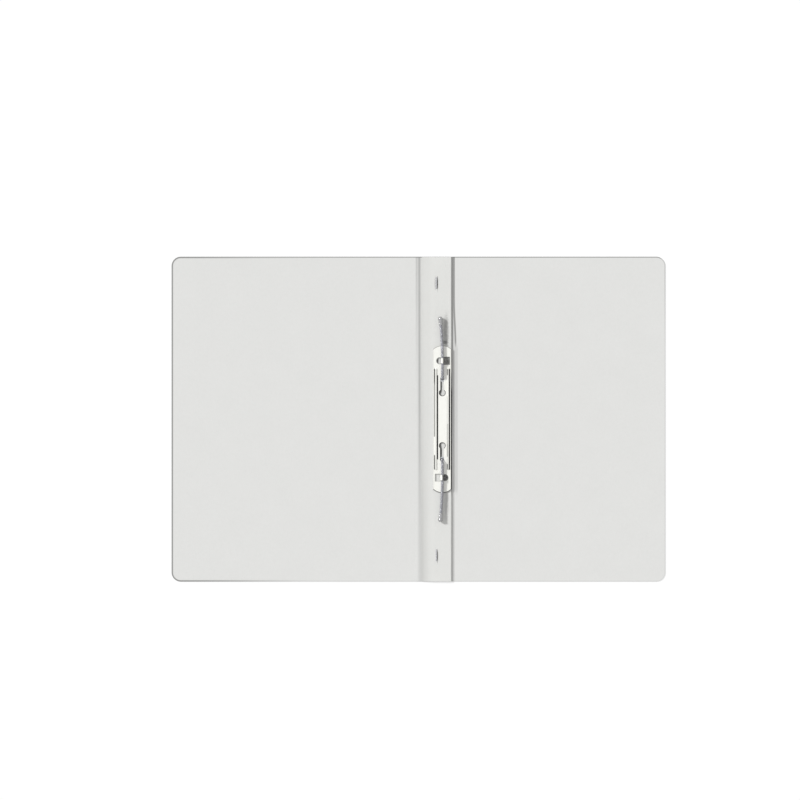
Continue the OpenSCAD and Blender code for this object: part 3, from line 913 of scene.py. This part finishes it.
def score_card(bm, side):
    """Cuts the half across near its scores, presses the grooves in, and smooths the faces that bend"""
    places = [middle + half * part for middle, half in SCORES for part in SCORE_CUTS]
    zone = FOLD_ZONE_OUT + FOLD_ZONE_IN
    for part in range(FOLD_STEPS + 1):
        places.append(side * (FOLD_X + FOLD_ZONE_OUT - zone * part / FOLD_STEPS))
    for line in sorted({round(place / MICRON) for place in places}):
        if side * line > 1:
            cut_across(bm, everything(bm), line * MICRON, 0)
    for vert in bm.verts:
        vert.co.z -= groove_depth(vert.co.x) * vert.co.z / BOARD_T
    for face in bm.faces:
        face.smooth = abs(face.calc_center_median().x) < FOLD_X + FOLD_ZONE_OUT
    for edge in bm.edges:
        edge.smooth = edge.calc_face_angle() < FOLD_SHARP_FROM


def under_faces(bm):
    return [f for f in bm.faces if f.normal.z < -0.99 and f.calc_center_median().z < MICRON]


def print_box(from_spine, from_head):
    """The X range and the Y range of a printed bar on the open card"""
    return sorted(-FOLD_X - u for u in from_spine), sorted(HEAD_Y - v for v in from_head)


def within(face, xs, ys):
    middle = face.calc_center_median()
    return xs[0] < middle.x < xs[1] and ys[0] < middle.y < ys[1]


def print_front(bm):
    """Cuts the printed bars out of the outer face and gives them the ink's material"""
    boxes = [print_box(RULE_FROM_SPINE, RULE_FROM_HEAD)]
    for middle in LINES_FROM_HEAD:
        boxes.append(print_box(LINES_FROM_SPINE, (middle - LINE_T / 2, middle + LINE_T / 2)))
    for axis in (0, 1):
        for place in sorted({round(edge / MICRON) for box in boxes for edge in box[axis]}):
            cut_across(bm, patch(under_faces(bm)), place * MICRON, axis)
    for face in under_faces(bm):
        if any(within(face, xs, ys) for xs, ys in boxes):
            face.material_index = 1


def recess_staples(bm):
    """Pockets in the outer face of the rear cover for the clinched staple legs"""
    for node in ("top_staple", "bottom_staple"):
        low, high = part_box(node)
        ranges = [(low[axis] - POCKET_SPARE, high[axis] + POCKET_SPARE) for axis in (0, 1)]
        for axis in (0, 1):
            for place in ranges[axis]:
                cut_across(bm, patch(under_faces(bm)), place, axis)
        pocket = [f for f in under_faces(bm) if within(f, *ranges)]
        raise_faces(bm, pocket, POCKET_DEPTH)
        bmesh.ops.delete(bm, geom=[f for f in pocket if f.is_valid], context="FACES_ONLY")


def build_covers():
    bm = card_blank(-1)
    score_card(bm, -1)
    print_front(bm)
    front = finished("front_card", bm, cover_card, ["front_cover"])
    front.data.materials.append(printed_ink)
    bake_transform(front)
    bm = card_blank(1)
    score_card(bm, 1)
    recess_staples(bm)
    rear = finished("rear_card", bm, cover_card, ["rear_cover", "spine_panel"])
    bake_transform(rear)


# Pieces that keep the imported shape, with their edges rounded

def softened(node, radius):
    """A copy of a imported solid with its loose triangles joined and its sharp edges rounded"""
    bm = bmesh.new()
    bm.from_mesh(nodes[node].data)
    bmesh.ops.remove_doubles(bm, verts=bm.verts[:], dist=MICRON)
    bmesh.ops.dissolve_limit(bm, angle_limit=FLAT_WITHIN, verts=bm.verts[:], edges=bm.edges[:])
    edges = [e for e in bm.edges if e.is_manifold and e.calc_face_angle() > ROUNDED_FROM]
    round_edges(bm, edges, radius, EDGE_STEPS)
    smooth_faces(bm)
    return bm


def weigh_normals(made):
    """Keeps the flats flat beside rounded edges"""
    made.data.set_sharp_from_angle(angle=SHARP_FROM)
    modifier = made.modifiers.new("flat_faces", "WEIGHTED_NORMAL")
    modifier.keep_sharp = True
    modifier.weight = FLAT_WEIGHT


def build_softened(name, node, body, material, radius):
    made = finished(name, softened(node, radius), material, [node])
    weigh_normals(made)
    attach(made, body)


# Coil springs

def straight_coil(length, pitch):
    """A coil of round wire up +Z from the origin: a straight wire, cut into rings and wound up"""
    bm = bmesh.new()
    crest = bm.verts.layers.float.new("wire_crest")
    r = WIRE_D / 2
    turns = length / pitch
    bmesh.ops.create_cone(bm, cap_ends=True, segments=WIRE_SIDES, radius1=r, radius2=r, depth=turns)
    lengthwise = [e for e in bm.edges if rise(e) > turns / 2]
    cuts = round(turns * STEPS_PER_TURN) - 1
    bmesh.ops.subdivide_edges(bm, edges=lengthwise, cuts=cuts, use_grid_fill=True)
    for vert in bm.verts:
        wound = vert.co.z + turns / 2
        vert[crest] = vert.co.x / r
        angle = 2 * math.pi * wound
        out = COIL_R + vert.co.x
        vert.co = Vector((out * math.cos(angle), out * math.sin(angle), pitch * wound - vert.co.y))
    smooth_faces(bm)
    return bm


def lean(y):
    """Sideways lean of the run past the hook"""
    length = MOUTH_Y - HOOK_Y
    if y < HOOK_Y:
        return 0.0
    if y < MOUTH_Y:
        return math.tan(TIP_LEAN) * (y - HOOK_Y) ** 2 / (2 * length)
    return math.tan(TIP_LEAN) * (length / 2 + y - MOUTH_Y)


def lean_slope(y):
    return math.tan(TIP_LEAN) * min(max((y - HOOK_Y) / (MOUTH_Y - HOOK_Y), 0.0), 1.0)


def bend_point(s, side):
    """Point and direction on the quarter bend at the length s"""
    angle = min(s / BEND_R, math.pi / 2)
    y = HOLE_Y + BEND_R * (1 - math.cos(angle)) + max(s - BEND_L, 0.0)
    point = Vector((PRONG_X, side * y, BEND_Z + BEND_R * math.sin(angle)))
    return point, Vector((0, side * math.sin(angle), math.cos(angle)))


def run_point(s, side):
    """Point and direction on the run at the length s past the bend"""
    y = HOLE_Y + BEND_R + s
    point = Vector((PRONG_X - lean(y), side * y, RUN_Z))
    return point, Vector((-lean_slope(y), side, 0)).normalized()


def bend_coil(bm, path, side):
    """Lays a straight coil along a path"""
    for vert in bm.verts:
        point, along = path(vert.co.z, side)
        across = (Vector((1, 0, 0)) - along * along.x).normalized()
        over = along.cross(across)
        vert.co = point + across * vert.co.x + over * vert.co.y


def foot_share(z):
    """How far a point of the foot at the height z follows the bar"""
    part = min(max((z - FOOT_START) / (FOOT_END - FOOT_START), 0.0), 1.0)
    return part * part * (3 - 2 * part)


def pack_foot(bm, side):
    """Packs the coil that is drawn out when the bar is raised down into the cup"""
    for vert in bm.verts:
        drawn = vert.co.z + FOOT_Z
        low, high = FOOT_Z - WIRE_D, BEND_Z + WIRE_D
        for _ in range(HALVINGS):
            middle = (low + high) / 2
            if middle + LIFT * foot_share(middle) < drawn:
                low = middle
            else:
                high = middle
        vert.co = Vector((PRONG_X + vert.co.x, side * HOLE_Y + vert.co.y, low))


def build_spring(name, side):
    bm = straight_coil(FOOT_L, CLOSE_PITCH)
    pack_foot(bm, side)
    foot = finished(name + "_spring_foot", bm, spring_wire)
    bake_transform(foot)
    bm = straight_coil(BEND_L, BEND_PITCH)
    bend_coil(bm, bend_point, side)
    bend = finished(name + "_spring_bend", bm, spring_wire)
    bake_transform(bend)
    bm = straight_coil(RUN_L, CLOSE_PITCH)
    bend_coil(bm, run_point, side)
    run = finished(name + "_spring_run", bm, spring_wire, [name + "_spring"])
    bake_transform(run)


# Crimped ferrules with round ends

def tip_outline():
    """Radius and height of a ferrule's outline, from the end of its bore round the mouth to the round end"""
    outline = [
        (0.0, TIP_BORE), (TIP_BORE_R, TIP_BORE), (TIP_BORE_R, MOUTH_ROLL), (TIP_BORE_R + MOUTH_IN, 0.0),
        (FERRULE_R - MOUTH_OUT, 0.0), (FERRULE_R, MOUTH_ROLL)
    ]
    for part, share in CRIMP:
        outline.append((FERRULE_R - CRIMP_DEPTH * share, CRIMP_AT + CRIMP_HALF_W * part))
    outline.append((FERRULE_R, FERRULE_L))
    ball_r = TIP_D / 2
    ball_z = TIP_L - ball_r
    ball_arc = math.pi - math.asin(FERRULE_R / ball_r)
    for ring in range(BALL_RINGS):
        angle = ball_arc * (1 - ring / BALL_RINGS)
        outline.append((ball_r * math.sin(angle), ball_z + ball_r * math.cos(angle)))
    outline.append((0.0, TIP_L))
    return outline


def build_tip(name, side):
    """Turned from its outline: rolled mouth, crimp, neck and ball, with the bore behind the mouth"""
    bm = bmesh.new()
    chain = [bm.verts.new((radius, 0, z)) for radius, z in tip_outline()]
    for first, second in zip(chain, chain[1:]):
        bm.edges.new((first, second))
    bmesh.ops.spin(
        bm, geom=bm.verts[:] + bm.edges[:], cent=(0, 0, 0), axis=(0, 0, 1), angle=2 * math.pi,
        steps=TIP_STEPS, use_merge=True
    )
    bmesh.ops.remove_doubles(bm, verts=bm.verts[:], dist=MICRON)
    bmesh.ops.recalc_face_normals(bm, faces=bm.faces[:])
    smooth_faces(bm)
    mouth, along = run_point(MOUTH_Y - HOLE_Y - BEND_R, side)
    turn = along.to_track_quat("Z", "Y").to_matrix()
    bmesh.ops.rotate(bm, cent=(0, 0, 0), matrix=turn, verts=bm.verts[:])
    bmesh.ops.translate(bm, vec=mouth, verts=bm.verts[:])
    made = finished(name + "_round_tip", bm, tip_nickel, [name + "_spring_tip"])
    made.data.set_sharp_from_angle(angle=TIP_SHARP_FROM)
    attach(made, name + "_tip")


# Camera, floor and light

def build_camera():
    lens = bpy.data.cameras.new("overhead_camera")
    lens.lens = CAMERA_LENS
    lens.sensor_width = SENSOR_W
    lens.clip_start = CLIP_NEAR
    lens.clip_end = CLIP_FAR
    camera = bpy.data.objects.new("overhead_camera", lens)
    scene.collection.objects.link(camera)
    camera.location = CAMERA_PLACE
    scene.camera = camera


def seen_directly(tree):
    """One where the background itself is seen, also in metal, and none where it lights the folder"""
    seen = put(tree, "LightPath").outputs
    direct = most(tree, seen["Is Camera Ray"], seen["Is Glossy Ray"])
    return most(tree, direct, seen["Is Transmission Ray"])


def build_floor():
    bm = bmesh.new()
    bmesh.ops.create_grid(bm, x_segments=1, y_segments=1, size=FLOOR_HALF)
    bmesh.ops.translate(bm, vec=(0, 0, -FLOOR_DROP), verts=bm.verts[:])
    mesh = bpy.data.meshes.new("floor")
    bm.to_mesh(mesh)
    bm.free()
    floor = bpy.data.objects.new("floor", mesh)
    scene.collection.objects.link(floor)
    material = bpy.data.materials.new("white_floor")
    material.use_nodes = True
    tree = material.node_tree
    tree.nodes.clear()
    matt = put(tree, "BsdfDiffuse", {"Color": colour(0.45, 0.45, 0.45)})
    strength = times(tree, seen_directly(tree), FLOOR_LIFT)
    lift = put(tree, "Emission", {"Color": colour(1, 1, 1), "Strength": strength})
    both = put(tree, "AddShader", {0: matt.outputs[0], 1: lift.outputs[0]})
    put(tree, "OutputMaterial", {0: both.outputs[0]})
    mesh.materials.append(material)


def build_light():
    world = bpy.data.worlds.new("studio")
    scene.world = world
    world.use_nodes = True
    tree = world.node_tree
    tree.nodes.clear()
    strength = scaled(tree, seen_directly(tree), 1 - FILL, FILL)
    sky = put(tree, "Background", {"Color": colour(1, 1, 1), "Strength": strength})
    put(tree, "OutputWorld", {0: sky.outputs[0]})
    sun = bpy.data.lights.new("key_light", "SUN")
    sun.energy = KEY * math.pi / math.sin(KEY_ELEVATION)
    sun.angle = KEY_ANGLE
    key = bpy.data.objects.new("key_light", sun)
    scene.collection.objects.link(key)
    travel = Vector((*KEY_TRAVEL, -math.tan(KEY_ELEVATION)))
    key.rotation_mode = "QUATERNION"
    key.rotation_quaternion = travel.to_track_quat("-Z", "Y")


build_camera()
build_floor()
build_light()
build_covers()
build_softened("card_strip", "filing_strip", "rear_leaf", strip_card, STRIP_EDGE_R)
build_softened("pressed_bar", "cover_bar", "bar", bar_enamel, BAR_EDGE_R)
for end in ("top", "bottom"):
    build_softened(
        end + "_wire_staple", end + "_staple", "rear_leaf", staple_wire, STAPLE_EDGE_R
    )
build_softened("zinc_rail", "base_rail", "rear_leaf", rail_zinc, RAIL_EDGE_R)
for end, side in (("upper", 1), ("lower", -1)):
    build_softened(end + "_rivet_cup", end + "_spring_cup", "rear_leaf", rail_zinc, CUP_EDGE_R)
    build_spring(end, side)
    build_tip(end, side)
